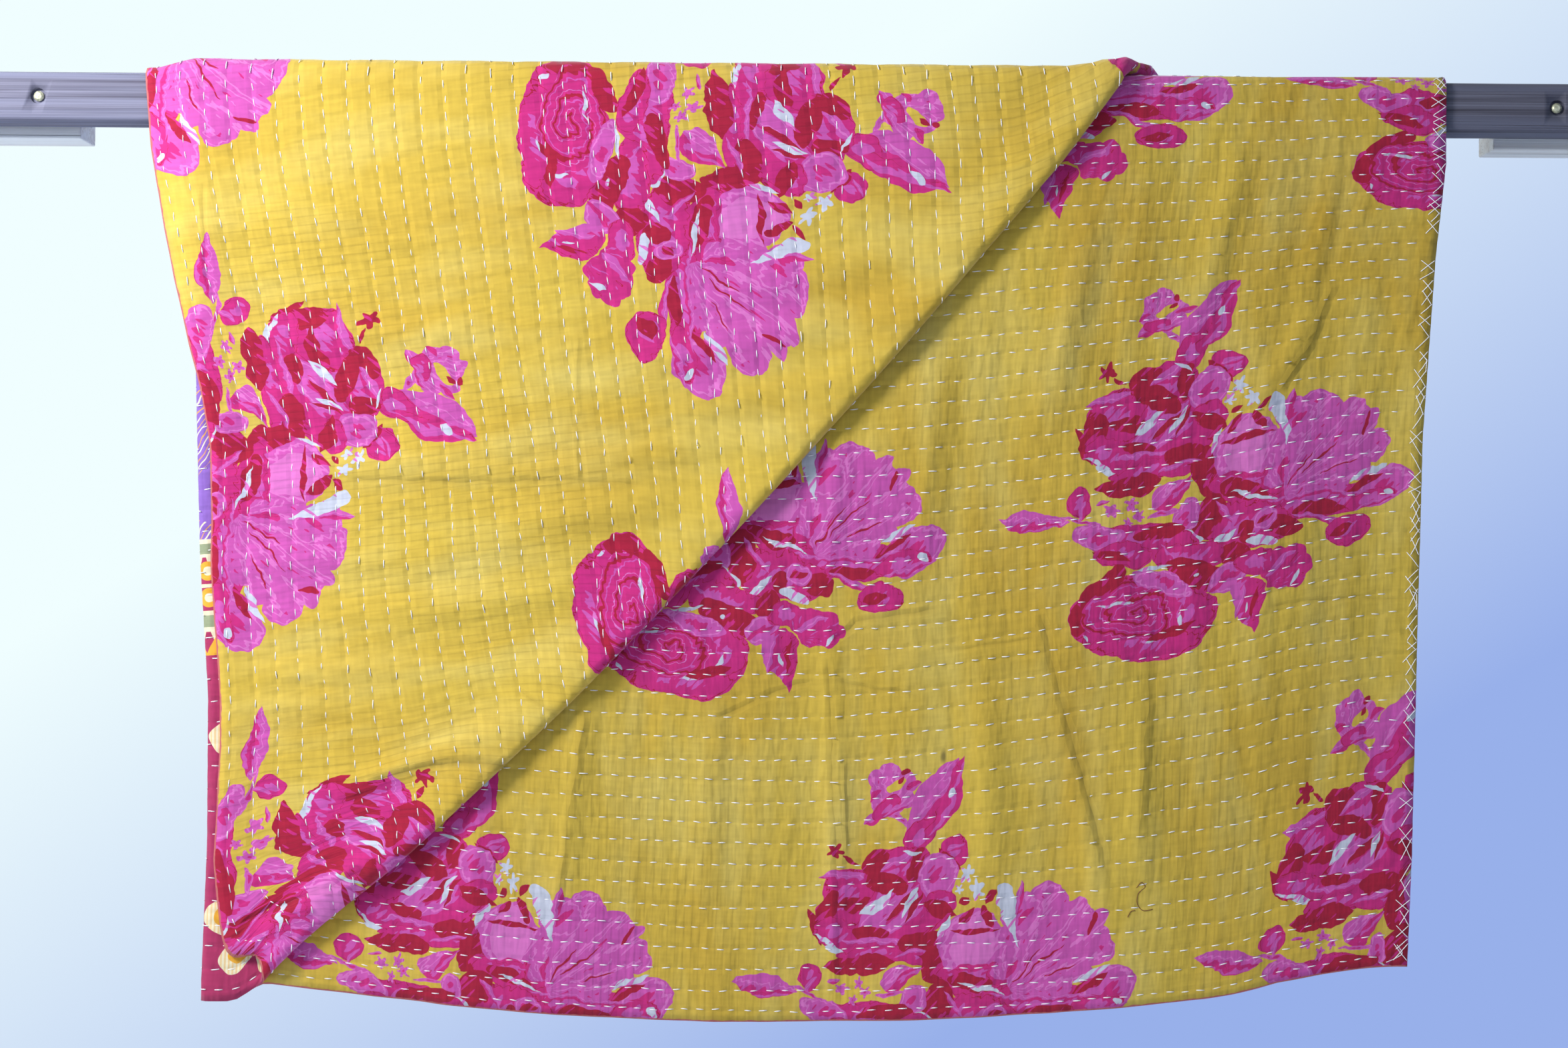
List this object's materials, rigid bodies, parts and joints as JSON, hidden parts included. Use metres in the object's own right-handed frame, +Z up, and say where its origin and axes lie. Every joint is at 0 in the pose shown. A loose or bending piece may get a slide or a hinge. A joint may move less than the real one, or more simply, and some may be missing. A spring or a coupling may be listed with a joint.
{
  "type": "kantha quilt hung over a wooden wall rail",
  "caption": "Hand-stitched kantha quilt, folded double over a wooden wall rail, with its front layer's lower corner turned back along a diagonal and thrown over the rail.",
  "frame": {"origin": "middle of the left wall block's back face, where it meets the wall", "axes": "+X along the rail to the right, +Y into the wall, +Z up"},
  "size_m": [1.5, 0.1169, 0.8411],
  "materials": {
    "quilt cloth": "matt worn cotton, printed yellow with magenta roses on one face and maroon and purple sari cloth on the other",
    "stitch thread": "matt white cotton thread",
    "rail wood": "weathered grey-violet softwood, bare",
    "block wood": "weathered paler softwood, bare",
    "bolt metal": "dull zinc-plated steel"
  },
  "bodies": {
    "root": {"quilt": "quilt cloth", "rail": "rail wood", "wall_block_left": "block wood", "wall_block_right": "block wood", "rail_bolt_left": "bolt metal", "rail_bolt_right": "bolt metal"}
  },
  "joints": []
}
